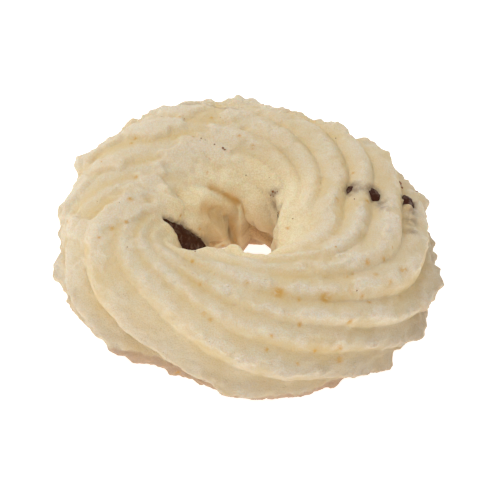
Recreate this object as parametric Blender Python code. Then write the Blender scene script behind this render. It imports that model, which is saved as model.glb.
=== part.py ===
"""A piped butter cookie: a ring of ridged rope with dark chocolate pieces set in the dough.

The ring lies flat, with +Z up and its origin under the middle of its footprint. Azimuth
runs round the ring, anticlockwise from +X seen from above. The roll angle runs round the
rope's own section: 0 faces outward, 90 up and 180 into the hole. Lengths are in
millimetres until they become points of a mesh or places of an object, in metres.
"""

import math

import bmesh
import bpy
import numpy as np
from mathutils import Euler

MM = 0.001
FOOTPRINT_MIDDLE = (-0.2, -0.2)  # middle of the ring's footprint before it is centred

# The ring. A tuple with one value a station has them evenly spaced round the ring from +X.
RIM_RADIUS = (28.7, 28.2, 27.4, 29.8, 31.7, 31.1, 30.1, 29.8, 26.8, 30.4, 30.7, 31.3)
HOLE_CENTRE = (-3.5, -0.5)
HOLE_RADIUS = (7.5, 9.2, 7.6, 5.6, 5.2, 5.0, 6.0, 9.0, 8.0, 5.9, 7.8, 9.2)
HEIGHT = 16.6
WIDEST_LEVEL = 0.42  # where the rope is widest, as a share of its height
SINK = 0.9  # how far the rope's round underside would reach below the tray
FULLNESS = {"outer_top": 2.1, "inner_top": 2.2, "outer_foot": 2.6, "inner_foot": 6.0}

# The ridges left by the star nozzle. Each winds once round the rope in one lap of the ring.
RIDGES = 13
RIDGE_START = (
    -8.05, -8.54, -8.46, -8.71, -8.89, -8.57, -7.4, -7.24, -7.19, -7.52, -7.59, -7.5,
)
CROWDING = {"sideways": -0.25, "upward": -0.69, "sideways_twice": 0.03, "upward_twice": -0.07}
LEAN = {"side_x": -0.67, "side_y": 0.01, "top_x": 0.1, "top_y": 0.18}
RIDGE_DRIFT = (
    -0.29, -0.18, -0.17, 0.06, 0.4, 0.54, 0.42, 0.19, 0.08, -0.25, -0.33, -0.26, -0.35,
)
GROOVE_STRENGTH = (0.8, 1.5, 1.0, 0.6, 0.9, 1.1, 1.0, 1.2, 1.1, 0.8, 0.8, 0.8, 0.8)
OUTER_DEPTH = (1.8, 1.6, 1.3, 0.9, 0.4, 0.3, 0.5, 1.2, 1.1, 1.1, 1.3, 1.6)
TOP_DEPTH = (0.8, 1.0, 0.8, 0.5, 0.15, 0.05, 0.05, 0.25, 0.4, 0.4, 0.45, 0.5)
HOLE_DEPTH = (0.7, 0.7, 0.5, 0.2, 0.1, 0.1, 0.1, 0.1, 0.3, 0.4, 0.5, 0.6)
CREST_PLACE = 0.3  # each crest leans out over the groove on its outer side
# The ridges' sharpness: 1 is an even wave, less a rounder crest with a sharper groove.
CREST_SHARPNESS = (1.0, 0.75, 0.75, 0.9, 1.0, 1.2, 1.2, 1.6, 2.2, 2.4, 2.2, 1.6)
GROOVE_SHARE = 0.65  # how much of the ridges' depth lies under the plain rope
DRIFT_PASSES = 3

# The bumps and notches of the ragged rim: azimuth and roll in degrees, and height.
RIM_BUMP_SIZE = 1.8
RIM_BUMPS = (
    (2, -4, 0.5), (12, 18, 0.8), (24, 16, -0.3), (33, 34, 0.7), (44, 31, 0.4), (52, 44, 0.8),
    (65, 33, -0.3), (82, 44, -0.6), (94, 38, 0.8), (111, 48, 0.5), (130, 32, 0.8),
    (140, 38, -0.5), (152, 22, 1.4), (162, 20, -1.1), (174, 21, 1.1), (179, 8, -0.5),
    (189, -14, 1.2), (200, -27, 0.7), (222, -28, 0.8), (229, -36, 0.8), (242, -44, 0.6),
    (258, -25, -0.7), (263, -27, 0.7), (281, -38, -0.4), (297, -42, 0.6), (313, -33, 1.1),
    (326, -20, 0.8), (341, 2, 0.7), (350, 0, -0.8),
)

# Soft folds and crevices of the dough's surface: the half width, the height, which is less
# than nothing for a crevice, and the path.
FOLDS = {
    "left_crevice": (0.9, -0.9, ((-11.2, 3.6, 14.4), (-10.4, 2.3, 13.3), (-9.6, 1.3, 11.7))),
    "chocolate_bed": (1.3, -0.8, ((-13.0, -1.6, 14.4), (-10.9, -1.1, 11.6), (-8.5, 1.0, 6.1))),
    "arch_crevice": (
        0.9, -0.6, ((-9.1, 5.9, 14.1), (-6.4, 6.6, 13.1), (-2.7, 5.9, 10.3)),
    ),
    "hollow": (1.2, -1.0, ((-5.6, 4.9, 10.2), (-3.6, 5.4, 9.3), (-2.4, 5.6, 8.6))),
    "right_cheek": (2.0, 1.2, ((6.0, 4.1, 12.2), (6.3, -0.2, 13.0), (5.9, -3.9, 11.6))),
    "left_knob": (1.3, 0.8, ((-7.4, -10.3, 14.7), (-6.6, -10.0, 14.4))),
    "middle_knob": (1.3, 0.9, ((-4.4, -9.1, 13.9), (-3.6, -8.9, 13.8))),
    "right_knob": (1.2, 0.8, ((-1.6, -8.6, 13.6), (-0.8, -8.6, 13.6))),
    "front_dip": (1.5, -0.6, ((1.2, -8.7, 13.6), (2.8, -8.9, 13.6))),
}

# Lobes of dough folded over one another in the hole, each half sunk in the rope: centre,
# half sizes, and the turn about X, Y and Z in degrees.
LOBES = {
    "left_lobe": ((-12.8, 1.4, 14.1), (3.2, 1.8, 1.9), (0, 34, -50)),
    "arch": ((-7.2, 5.4, 9.8), (5.8, 2.7, 3.2), (0, 29, 22)),
    "cheek": ((-8.8, 3.4, 8.0), (2.6, 1.8, 3.4), (0, 20, 27)),
    "low_lobe": ((-5.8, 3.8, 6.0), (2.7, 2.4, 2.2), (0, 31, 27)),
    "flap": ((-9.2, 1.9, 8.4), (7.0, 1.2, 1.2), (0, 57, 22)),
    "petal": ((-1.9, 5.7, 3.5), (1.3, 1.6, 6.5), (0, 0, 0)),
    "right_lobe": ((1.5, 7.3, 8.2), (4.8, 2.9, 2.6), (0, 49, -32)),
}
LOBE_REACH = 5.0  # how far from the plain rope a lobe still belongs to it
BLEND = 0.8  # how softly a lobe runs into the rope

# The faces: samples across each ridge, from one groove to the next, and columns a lap.
RIDGE_SAMPLES = (0.0, 0.08, 0.18, 0.3, 0.52, 0.78)
COLUMNS = 78
ROLL_STEPS = 720
WELD = 0.02

# The chocolate pieces: centre, half sizes, and the turn about X, Y and Z in degrees.
POCKET_GAP = 0.3
CHOCOLATE = {
    "chocolate_crevice": ((-11.1, -0.5, 9.1), (7.2, 2.3, 1.4), (27, 52, 24)),
    "chocolate_ridge": ((18.0, 2.4, 15.1), (3.3, 1.7, 1.35), (0, 10, -8)),
    "chocolate_flank": ((24.8, 2.4, 12.3), (1.5, 2.0, 1.9), (0, 20, 10)),
    "chocolate_hole": ((5.6, 2.4, 10.2), (0.9, 1.5, 2.0), (0, 10, 20)),
}
CHOCOLATE_UNEVENNESS = 0.12
DENT_WAVES = ((2.3, 1.1, 0.0), (0.6, -0.7, 1.9))  # the waves that dent it, along X, Y and Z
CHOCOLATE_FINENESS = 3

DOUGH_COLOUR = (0.72, 0.52, 0.30, 1.0)
DOUGH_ROUGHNESS = 0.85
CHOCOLATE_COLOUR = (0.05, 0.02, 0.012, 1.0)
CHOCOLATE_ROUGHNESS = 0.45


def clear_scene():
    """Remove every object of the opening scene."""
    for item in list(bpy.data.objects):
        bpy.data.objects.remove(item, do_unlink=True)


def round_the_ring(values, azimuth):
    """A smooth closed curve through values spaced evenly round the ring."""
    values = np.asarray(values, float)
    place = (azimuth / (2 * math.pi) * len(values)) % len(values)
    left = np.floor(place).astype(int)
    u = place - left
    a, b, c, d = (values[(left + step) % len(values)] for step in (-1, 0, 1, 2))
    return b + 0.5 * u * (c - a + u * (2 * a - 5 * b + 4 * c - d + u * (3 * (b - c) + d - a)))


def ridge_count(azimuth, roll):
    """The number of ridges passed on the way to a spot: whole numbers are the grooves."""
    start = round_the_ring(RIDGE_START, azimuth)
    winding = RIDGES * (azimuth + roll) / (2 * math.pi)
    crowding = CROWDING["sideways"] * np.cos(roll) + CROWDING["upward"] * np.sin(roll)
    crowding = crowding + CROWDING["sideways_twice"] * np.cos(2 * roll)
    crowding = crowding + CROWDING["upward_twice"] * np.sin(2 * roll)
    side_lean = LEAN["side_x"] * np.cos(azimuth) + LEAN["side_y"] * np.sin(azimuth)
    top_lean = LEAN["top_x"] * np.cos(azimuth) + LEAN["top_y"] * np.sin(azimuth)
    even = start + winding + crowding + np.cos(roll) * side_lean + np.sin(roll) * top_lean
    count = even
    for _ in range(DRIFT_PASSES):
        count = even + round_the_ring(RIDGE_DRIFT, 2 * math.pi * count / RIDGES)
    return count


def section_frame(azimuth):
    """Middle of the rope's section and the vector from there to its outer side."""
    outward = np.stack([np.cos(azimuth), np.sin(azimuth)], -1)
    rim = outward * round_the_ring(RIM_RADIUS, azimuth)[..., None]
    edge = outward * round_the_ring(HOLE_RADIUS, azimuth)[..., None] + np.array(HOLE_CENTRE)
    return (rim + edge) / 2, (rim - edge) / 2


def fullness(roll):
    """How square the section is in each quarter: 2 is an ellipse."""
    top = np.where(np.cos(roll) > 0, FULLNESS["outer_top"], FULLNESS["inner_top"])
    foot = np.where(np.cos(roll) > 0, FULLNESS["outer_foot"], FULLNESS["inner_foot"])
    return np.where(np.sin(roll) > 0, top, foot)


def plain_rope(azimuth, roll):
    """Points of the rope as if it had no ridges, and the direction its surface faces."""
    middle, side = section_frame(azimuth)
    half_width = np.linalg.norm(side, axis=-1)
    level = HEIGHT * WIDEST_LEVEL
    reach = np.where(np.sin(roll) > 0, HEIGHT - level, level + SINK)
    power = fullness(roll)
    across, up = np.abs(np.cos(roll)), np.abs(np.sin(roll))
    radius = (across**power + up**power) ** (-1 / power)
    x = radius * np.cos(roll)
    z = radius * np.sin(roll)
    slope_x = np.sign(x) * np.abs(x) ** (power - 1) / half_width
    slope_z = np.sign(z) * np.abs(z) ** (power - 1) / reach
    steepness = np.hypot(slope_x, slope_z)
    flat = middle + side * x[..., None]
    points = np.concatenate([flat, (z * reach + level)[..., None]], -1)
    outward = side / half_width[..., None] * (slope_x / steepness)[..., None]
    return points, np.concatenate([outward, (slope_z / steepness)[..., None]], -1)


def distance_to_path(points, path):
    """How far each point is from the nearest of a path's straight stretches."""
    nearest = np.full(points.shape[:-1], np.inf)
    for start, end in zip(path, path[1:]):
        along = np.array(end) - np.array(start)
        share = np.clip((points - start) @ along / (along @ along), 0, 1)
        away = points - start - share[..., None] * along
        nearest = np.minimum(nearest, np.linalg.norm(away, axis=-1))
    return nearest


def fold_relief(points):
    """Height that the folds and crevices add at each point."""
    height = np.zeros(points.shape[:-1])
    for half_width, rise, path in FOLDS.values():
        height = height + rise * np.exp(-((distance_to_path(points, path) / half_width) ** 2))
    return height


def ridge_relief(azimuth, roll):
    """Height of the ridges over the plain rope: crests out, grooves in."""
    count = ridge_count(azimuth, roll)
    depth = round_the_ring(OUTER_DEPTH, azimuth) * np.maximum(np.cos(roll), 0) ** 2
    depth = depth + round_the_ring(TOP_DEPTH, azimuth) * np.sin(roll) ** 2
    depth = depth + round_the_ring(HOLE_DEPTH, azimuth) * np.maximum(-np.cos(roll), 0) ** 2
    strength = depth * round_the_ring(GROOVE_STRENGTH, 2 * math.pi * count / RIDGES)
    # The power moves the crest of an even wave from the middle of its ridge to its place.
    skewed = (count - np.floor(count)) ** (math.log(0.5) / math.log(CREST_PLACE))
    crest = np.sin(math.pi * skewed) ** round_the_ring(CREST_SHARPNESS, azimuth)
    return strength * (crest - GROOVE_SHARE)


def rim_relief(points):
    """Height that the rim's bumps and notches add at each point."""
    azimuth, roll, rise = np.array(RIM_BUMPS).T
    spots, _ = plain_rope(np.radians(azimuth), np.radians(roll))
    away = np.linalg.norm(points[..., None, :] - spots, axis=-1)
    return (rise * np.exp(-((away / RIM_BUMP_SIZE) ** 2))).sum(-1)


def lobe_rise(points, outward, shape):
    """How far each point must go outward to leave a lobe that lies on its way."""
    centre, half_sizes, turn = shape
    spin = np.array(Euler([math.radians(angle) for angle in turn]).to_matrix())
    start = (points - np.array(centre)) @ spin / np.array(half_sizes)
    step = outward @ spin / np.array(half_sizes)
    speed = (step * step).sum(-1)
    approach = (start * step).sum(-1)
    room = approach**2 - speed * ((start * start).sum(-1) - 1)
    rise = (np.sqrt(np.maximum(room, 0)) - approach) / speed
    return np.where((room > 0) & (rise < LOBE_REACH), rise, -np.inf)


def with_lobes(height, points, outward):
    """The relief with every lobe run softly into it."""
    for shape in LOBES.values():
        rise = lobe_rise(points, outward, shape)
        overlap = np.maximum(BLEND - np.abs(height - rise), 0)
        height = np.maximum(height, rise) + overlap**2 / (4 * BLEND)
    return height


def rope_surface(azimuth, roll):
    """Points of the ridged and folded rope's surface, in millimetres."""
    points, outward = plain_rope(azimuth, roll)
    relief = with_lobes(ridge_relief(azimuth, roll) + rim_relief(points), points, outward)
    return points + outward * (relief + fold_relief(points))[..., None]


def rows_round_rope(azimuth):
    """Roll angles of one column's rows, each row keeping its place on its own ridge."""
    roll = np.linspace(-math.pi / 2, 3 * math.pi / 2, ROLL_STEPS + 1)
    count = ridge_count(np.full_like(roll, azimuth), roll)
    shares = np.array(RIDGE_SAMPLES)
    wanted = (np.arange(RIDGES)[:, None] + shares).ravel()
    wanted = wanted + RIDGES * np.ceil((count[0] - wanted) / RIDGES)
    return np.interp(wanted, count, roll)


def centred(point):
    """A point in metres, from millimetres in the frame that the ring is drawn in."""
    x, y, z = (float(c) for c in point)
    return ((x - FOOTPRINT_MIDDLE[0]) * MM, (y - FOOTPRINT_MIDDLE[1]) * MM, z * MM)


def mesh_of(name, points, faces):
    """A mesh object from points in millimetres and faces of point numbers."""
    mesh = bpy.data.meshes.new(name)
    mesh.from_pydata([centred(point) for point in points], [], faces)
    mesh.update()
    item = bpy.data.objects.new(name, mesh)
    bpy.context.collection.objects.link(item)
    return item


def make_rope(name):
    """The closed ridged ring, whose underside still reaches below the tray."""
    rows = RIDGES * len(RIDGE_SAMPLES)
    points = []
    for column in range(COLUMNS):
        azimuth = 2 * math.pi * column / COLUMNS
        roll = rows_round_rope(azimuth)
        points.extend(rope_surface(np.full_like(roll, azimuth), roll))
    faces = []
    for column in range(COLUMNS):
        here = column * rows
        after = (column + 1) % COLUMNS * rows
        for row in range(rows):
            above = (row + 1) % rows
            faces.append((here + row, after + row, after + above, here + above))
    return mesh_of(name, points, faces)


def cut_flat_base(item):
    """Cut the ring off at the tray's level and close it with a flat base."""
    shape = bmesh.new()
    shape.from_mesh(item.data)
    geometry = shape.verts[:] + shape.edges[:] + shape.faces[:]
    bmesh.ops.bisect_plane(
        shape, geom=geometry, plane_co=(0, 0, 0), plane_no=(0, 0, 1), clear_inner=True
    )
    bmesh.ops.remove_doubles(shape, verts=shape.verts[:], dist=WELD * MM)
    rim = [edge for edge in shape.edges if edge.is_boundary]
    bmesh.ops.triangle_fill(shape, edges=rim, use_beauty=True, normal=(0, 0, -1))
    bmesh.ops.recalc_face_normals(shape, faces=shape.faces[:])
    shape.to_mesh(item.data)
    shape.free()


def make_lump(name, centre, half_sizes, turn, margin=0.0):
    """An uneven chip of chocolate, or with a margin the room that it takes in the dough."""
    shape = bmesh.new()
    bmesh.ops.create_icosphere(shape, subdivisions=CHOCOLATE_FINENESS, radius=1.0)
    for vert in shape.verts:
        first, second = (sum(k * c for k, c in zip(wave, vert.co)) for wave in DENT_WAVES)
        dent = math.sin(first) * math.cos(second)
        size = [half * (1 + CHOCOLATE_UNEVENNESS * dent) + margin for half in half_sizes]
        vert.co = [c * length * MM for c, length in zip(vert.co, size)]
    mesh = bpy.data.meshes.new(name)
    shape.to_mesh(mesh)
    shape.free()
    item = bpy.data.objects.new(name, mesh)
    bpy.context.collection.objects.link(item)
    item.location = centred(centre)
    item.rotation_euler = [math.radians(angle) for angle in turn]
    return item


def cut_pocket(dough, name, shape):
    """Open a pocket in the dough for one piece of chocolate."""
    cutter = make_lump(name + "_pocket", *shape, margin=POCKET_GAP)
    cutter.hide_render = True
    cutter.display_type = "WIRE"
    modifier = dough.modifiers.new(name + "_pocket", "BOOLEAN")
    modifier.operation = "DIFFERENCE"
    modifier.object = cutter


def finish(item, name, colour, roughness):
    """Give an object its own material."""
    material = bpy.data.materials.new(name)
    material.use_nodes = True
    shader = material.node_tree.nodes["Principled BSDF"]
    shader.inputs["Base Color"].default_value = colour
    shader.inputs["Roughness"].default_value = roughness
    shader.inputs["Metallic"].default_value = 0.0
    item.data.materials.append(material)


def main():
    clear_scene()
    bpy.context.scene.unit_settings.system = "METRIC"
    dough = make_rope("cookie_ring")
    cut_flat_base(dough)
    finish(dough, "baked_dough", DOUGH_COLOUR, DOUGH_ROUGHNESS)
    for name, shape in CHOCOLATE.items():
        piece = make_lump(name, *shape)
        finish(piece, name + "_dark", CHOCOLATE_COLOUR, CHOCOLATE_ROUGHNESS)
        cut_pocket(dough, name, shape)


if __name__ == "__main__":
    main()
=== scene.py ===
"""A piped butter cookie with dark chocolate in it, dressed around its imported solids.

The dough is piped again at a fine spacing, from the same sizes as the solids, and gets its
torn crests, crumb and colours. Azimuth runs round the ring, anticlockwise from +X seen from
above, and the roll angle runs round the rope's section: 0 faces outward, 90 up and 180 into
the hole. Lengths are in millimetres, in the frame that the ring is drawn in, unless a comment
says otherwise. The properties' lengths are in metres, as Blender's are.
"""

import math
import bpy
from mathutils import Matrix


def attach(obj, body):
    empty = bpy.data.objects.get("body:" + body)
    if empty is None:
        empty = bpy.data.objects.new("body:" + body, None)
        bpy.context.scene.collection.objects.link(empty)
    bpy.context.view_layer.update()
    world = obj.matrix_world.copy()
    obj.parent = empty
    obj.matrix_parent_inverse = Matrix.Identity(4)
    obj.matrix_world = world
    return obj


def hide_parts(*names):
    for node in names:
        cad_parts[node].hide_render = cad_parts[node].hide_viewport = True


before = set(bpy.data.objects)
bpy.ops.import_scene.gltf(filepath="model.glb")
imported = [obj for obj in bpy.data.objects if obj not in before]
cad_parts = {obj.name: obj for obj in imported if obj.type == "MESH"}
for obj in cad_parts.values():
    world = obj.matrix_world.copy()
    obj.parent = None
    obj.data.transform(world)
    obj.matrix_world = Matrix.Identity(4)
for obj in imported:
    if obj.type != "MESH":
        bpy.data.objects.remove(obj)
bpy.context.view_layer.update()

from types import SimpleNamespace

import bmesh
import bpy
import numpy as np
from bpy.props import FloatProperty, FloatVectorProperty, IntProperty, PointerProperty
from mathutils import Euler, Vector, noise

bl_info = {
    "name": "Butter Cookie",
    "version": (1, 0, 0),
    "blender": (4, 5, 0),
    "location": "3D View > Sidebar > Cookie",
    "description": "Pipes a ridged butter cookie and sets dark chocolate in it",
    "category": "Add Mesh",
}

BODY = "root"
DOUGH = "dough_ring"
MM = 0.001
FOOTPRINT_MIDDLE = (-0.2, -0.2)  # middle of the ring's footprint before it is centred

# The ring. A tuple with one value a station has them evenly spaced round the ring from +X.
RIM_RADIUS = (28.7, 28.2, 27.4, 29.8, 31.7, 31.1, 30.1, 29.8, 26.8, 30.4, 30.7, 31.3)
HOLE_CENTRE = (-3.5, -0.5)
HOLE_RADIUS = (7.5, 9.2, 7.6, 5.6, 5.2, 5.0, 6.0, 9.0, 8.0, 5.9, 7.8, 9.2)
HEIGHT = 16.6
WIDEST_LEVEL = 0.42  # where the rope is widest, as a share of its height
SINK = 0.9  # how far the rope's round underside would reach below the tray
FULLNESS = {"outer_top": 2.1, "inner_top": 2.2, "outer_foot": 2.6, "inner_foot": 6.0}

# The ridges left by the star nozzle. Each winds once round the rope in one lap of the ring.
# A ridge's drift from its even place and the strength of its groove are given ridge by ridge.
RIDGES = 13
RIDGE_START = (-8.05, -8.54, -8.46, -8.71, -8.89, -8.57, -7.4, -7.24, -7.19, -7.52, -7.59, -7.5)
CROWDING = {"sideways": -0.25, "upward": -0.69, "sideways_twice": 0.03, "upward_twice": -0.07}
LEAN = {"side_x": -0.67, "side_y": 0.01, "top_x": 0.1, "top_y": 0.18}
RIDGE_DRIFT = (
    -0.29, -0.18, -0.17, 0.06, 0.4, 0.54, 0.42, 0.19, 0.08, -0.25, -0.33, -0.26, -0.35,
)
DRIFT_PASSES = 3  # a drift is looked up where it leads to, in this many passes
GROOVE_STRENGTH = (0.8, 1.5, 1.0, 0.6, 0.9, 1.1, 1.0, 1.2, 1.1, 0.8, 0.8, 0.8, 0.8)
OUTER_DEPTH = (1.8, 1.6, 1.3, 0.9, 0.4, 0.3, 0.5, 1.2, 1.1, 1.1, 1.3, 1.6)
TOP_DEPTH = (0.8, 1.0, 0.8, 0.5, 0.15, 0.05, 0.05, 0.25, 0.4, 0.4, 0.45, 0.5)
HOLE_DEPTH = (0.7, 0.7, 0.5, 0.2, 0.1, 0.1, 0.1, 0.1, 0.3, 0.4, 0.5, 0.6)
# How far from its groove a crest is, as a share of a ridge: it leans over the groove outside it.
CREST_PLACE = 0.38
# The ridges' sharpness: 1 is an even wave, less a broader crest and more a narrower one.
CREST_SHARPNESS = (1.0, 0.75, 0.75, 0.9, 1.0, 1.2, 1.2, 1.3, 1.4, 1.4, 1.3, 1.1)
GROOVE_SHARE = 0.65  # how much of the ridges' depth lies under the plain rope

# The bumps and notches of the ragged rim: azimuth and roll in degrees, and height.
RIM_BUMP_SIZE = 1.8
RIM_BUMPS = (
    (2, -4, 0.5), (12, 18, 0.8), (24, 16, -0.3), (33, 34, 0.7), (44, 31, 0.4), (52, 44, 0.8),
    (65, 33, -0.3), (82, 44, -0.6), (94, 38, 0.8), (111, 48, 0.5), (130, 32, 0.8),
    (140, 38, -0.5), (152, 22, 1.4), (162, 20, -1.1), (174, 21, 1.1), (179, 8, -0.5),
    (189, -14, 1.2), (200, -27, 0.7), (222, -28, 0.8), (229, -36, 0.8), (242, -44, 0.6),
    (258, -25, -0.7), (263, -27, 0.7), (281, -38, -0.4), (297, -42, 0.6), (313, -33, 1.1),
    (326, -20, 0.8), (341, 2, 0.7), (350, 0, -0.8),
)

# Soft folds and crevices of the dough's surface: the half width, the height, which is less
# than nothing for a crevice, and the path.
FOLDS = {
    "left_crevice": (0.9, -0.9, ((-11.2, 3.6, 14.4), (-10.4, 2.3, 13.3), (-9.6, 1.3, 11.7))),
    "chocolate_bed": (1.3, -0.8, ((-13.0, -1.6, 14.4), (-10.9, -1.1, 11.6), (-8.5, 1.0, 6.1))),
    "arch_crevice": (0.9, -0.6, ((-9.1, 5.9, 14.1), (-6.4, 6.6, 13.1), (-2.7, 5.9, 10.3))),
    "hollow": (1.2, -1.0, ((-5.6, 4.9, 10.2), (-3.6, 5.4, 9.3), (-2.4, 5.6, 8.6))),
    "right_cheek": (2.0, 1.2, ((6.0, 4.1, 12.2), (6.3, -0.2, 13.0), (5.9, -3.9, 11.6))),
    "left_knob": (1.3, 0.8, ((-7.4, -10.3, 14.7), (-6.6, -10.0, 14.4))),
    "middle_knob": (1.3, 0.9, ((-4.4, -9.1, 13.9), (-3.6, -8.9, 13.8))),
    "right_knob": (1.2, 0.8, ((-1.6, -8.6, 13.6), (-0.8, -8.6, 13.6))),
    "front_dip": (1.5, -0.6, ((1.2, -8.7, 13.6), (2.8, -8.9, 13.6))),
}
# Finer folds than the solids have, given in the same way.
FINE_FOLDS = {
    "arch_lip": (
        1.0, 0.4,
        ((-7.1, 5.4, 13.1), (-5.5, 6.0, 12.1), (-4.0, 6.2, 11.1), (-2.7, 6.3, 9.9),
         (-1.5, 5.4, 9.2), (-1.2, 5.0, 8.1), (-1.1, 4.7, 6.4), (-1.2, 4.4, 4.5)),
    ),
    "behind_arch": (
        0.5, -0.35, ((-6.2, 6.6, 12.6), (-3.7, 6.8, 11.3), (-2.1, 6.8, 9.9), (-0.6, 5.8, 8.8)),
    ),
    "under_arch": (
        1.3, -1.2,
        ((-7.0, 2.9, 11.5), (-5.7, 3.9, 9.9), (-4.4, 4.3, 8.6), (-3.4, 5.0, 6.9),
         (-2.9, 4.8, 5.2)),
    ),
    "low_cheek": (1.4, 1.3, ((-6.0, 2.7, 7.9), (-4.6, 2.6, 7.2))),
    "cheek_crease": (
        0.5, -1.1, ((-4.2, 3.9, 8.6), (-3.5, 3.7, 7.0), (-3.0, 4.2, 5.2), (-2.6, 4.5, 3.2)),
    ),
    "cheek_foot": (
        0.7, -0.9,
        ((-5.6, 1.5, 5.2), (-4.4, 2.4, 4.6), (-3.4, 3.4, 5.2), (-2.9, 4.4, 4.0),
         (-2.4, 4.4, 2.6)),
    ),
    "right_lobe_edge": (0.35, -0.4, ((0.5, 4.6, 7.2), (1.8, 5.7, 4.2), (3.1, 5.3, 3.0))),
    "front_knob": (0.9, 0.5, ((-3.0, -8.9, 14.1), (-1.8, -8.9, 14.0))),
    "ridge_pocket": (1.1, -0.9, ((20.4, 1.6, 16.0), (21.0, -0.4, 15.6))),
    "flank_cover": (0.6, 1.3, ((24.6, 1.9, 13.7), (25.1, 0.5, 13.2))),
    "flank_edge": (0.6, 0.9, ((26.6, 3.4, 12.0), (26.8, 2.2, 11.8))),
}

# Lobes of dough folded over one another in the hole, each half sunk in the rope: centre,
# half sizes, and the turn about X, Y and Z in degrees.
LOBES = {
    "left_lobe": ((-12.8, 1.4, 14.1), (3.2, 1.8, 1.9), (0, 34, -50)),
    "arch": ((-7.2, 5.4, 9.8), (5.8, 2.7, 3.2), (0, 29, 22)),
    "cheek": ((-8.8, 3.4, 8.0), (2.6, 1.8, 3.4), (0, 20, 27)),
    "low_lobe": ((-5.8, 3.8, 6.0), (2.7, 2.4, 2.2), (0, 31, 27)),
    "flap": ((-9.2, 1.9, 8.4), (7.0, 1.2, 1.2), (0, 57, 22)),
    "petal": ((-1.9, 5.7, 3.5), (1.3, 1.6, 6.5), (0, 0, 0)),
    "right_lobe": ((1.5, 7.3, 8.2), (4.8, 2.9, 2.6), (0, 49, -32)),
}
LOBE_REACH = 5.0  # how far from the plain rope a lobe still belongs to it
BLEND = 0.8  # how softly a lobe runs into the rope

# The chocolate pieces, given as the lobes are.
CHOCOLATE = {
    "chocolate_crevice": ((-11.1, -0.5, 9.1), (7.2, 2.3, 1.4), (27, 52, 24)),
    "chocolate_ridge": ((18.0, 2.4, 15.1), (3.3, 1.7, 1.35), (0, 10, -8)),
    "chocolate_flank": ((24.8, 2.4, 12.3), (1.5, 2.0, 1.9), (0, 20, 10)),
    "chocolate_hole": ((5.6, 2.4, 10.2), (0.9, 1.5, 2.0), (0, 10, 20)),
}
CHOCOLATE_UNEVENNESS = 0.12
DENT_WAVES = ((2.3, 1.1, 0.0), (0.6, -0.7, 1.9))  # the waves that dent it, along X, Y and Z
CHIP_SIZE = 0.9  # width of the chips in its faces
CHIP_DEPTHS = (0.22, 0.1)  # how deep those chips are, and the ones half as wide
CHOCOLATE_FINENESS = 5  # how often a ball's triangles are split
# The line along which bloom shows on the chocolate in the crevice.
BLOOM_LINE = (
    (-12.3, -0.9, 13.1), (-11.3, -0.4, 12.0), (-10.6, -0.2, 11.0), (-9.6, 0.2, 9.7),
    (-8.4, 0.8, 7.8),
)
BLOOM_WIDTH = 0.3

# How torn the crests are and how lumpy the dough is, station by station.
RAGGEDNESS = (1.2, 0.6, 0.5, 0.5, 0.3, 0.25, 0.3, 0.5, 0.7, 0.9, 1.1, 1.4)
LUMPINESS = (0.5, 0.3, 0.4, 0.8, 1.3, 1.4, 1.2, 0.6, 0.3, 0.4, 0.5, 0.6)
HOLE_RAGGEDNESS = 0.4  # how torn the crests down the hole are, beside 1 on the outer side
# The torn band below a crest, towards its groove, and above it: how far it reaches as a share
# of a ridge, how full it is at the crest, and how much the flakes fray its edge.
TORN_BELOW = (0.24, 1.0, 0.6)
TORN_ABOVE = (0.28, 0.9, 1.0)
TOOTH_LENGTH = 1.2
COARSENING = 0.5  # how much coarser the crumb is where the dough is torn or lumpy
# The band of teeth round the rim, in radians of roll: how high it runs at the back, and as low
# at the front, and its reach.
RIM_ROLL, RIM_REACH = 0.75, 0.4
# A hair crack at the back.
HAIR_CRACK = ((-11.5, 23.9, 15.1), (-8.5, 23.9, 15.4), (-5.6, 23.5, 15.7), (-1.8, 21.5, 16.3))
CRACK_WIDTH = 0.3
CRACK_DEPTH = 0.2

# Uneven patterns, each in one or two layers: a layer's strength, the width of its lumps as a
# share of the pattern's, and its seed.
WAVER = ((1.0, 2.0, 2.2), (0.7, 0.6, 4.6))
FLAKES = ((1.5, 1.0, 3.1), (0.9, 0.4, 7.7))
TEETH = ((1.0, 1.0, 9.3),)
LUMPS = ((1.0, 1.0, 5.3), (1 / 3, 1 / 3, 0.0))
CRUMB = ((1.0, 1.0, 1.7), (0.5, 0.5, 0.0))
RIM_TEETH = ((1.0, 1.0, 6.1), (0.5, 1 / 2.2, 8.3))
PRESSURE = ((0.35, 1.0, 8.8),)
PRESSURE_LENGTH = 9.0  # over which the pressure on the piping bag changed
TOAST_EDGE = ((0.6, 1.0, 3.3),)
TOAST_EDGE_LENGTH = 2.5

# Two values between which something comes in softly: first, values of its uneven pattern.
TEETH_FADE, LUMPS_FADE = (0.05, 0.45), (-0.15, 0.25)
# Heights above the base, where the crumb comes in and the flank's tan and painted shade and the
# painted shade low in the hole go out, and heights above the toasted foot's level, where the
# toasting and the painted shade under the overhang go out.
CRUMB_FADE, FLANK_FADE, HOLE_SHADE_FADE = (0.0, 0.8), (4.0, 15.0), (4.0, 12.0)
TOAST_FADE = (-0.3, 0.5)
# How far inside a piece of chocolate a spot is, from 0 at its skin to 1 in its middle. The
# chocolate stained the dough as if each piece were wider by SMUDGE_REACH.
POCKET_FADE, SMUDGE_FADE = (0.0, 0.25), (0.0, 0.4)
SMUDGE_REACH = 1.1
# How squarely the surface faces outward, as a cosine, or for the last two into the hole.
RAGGED_SIDE, FLANK_SIDE = (-0.6, 0.2), (0.1, 0.75)
# Of the last two, the first is where the painted light on the hole's walls comes in, the second
# where the painted shade low in the hole comes in.
HOLE_LIGHT_SIDE, HOLE_SHADE_SIDE = (0.3, 0.8), (0.5, 0.95)
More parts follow.
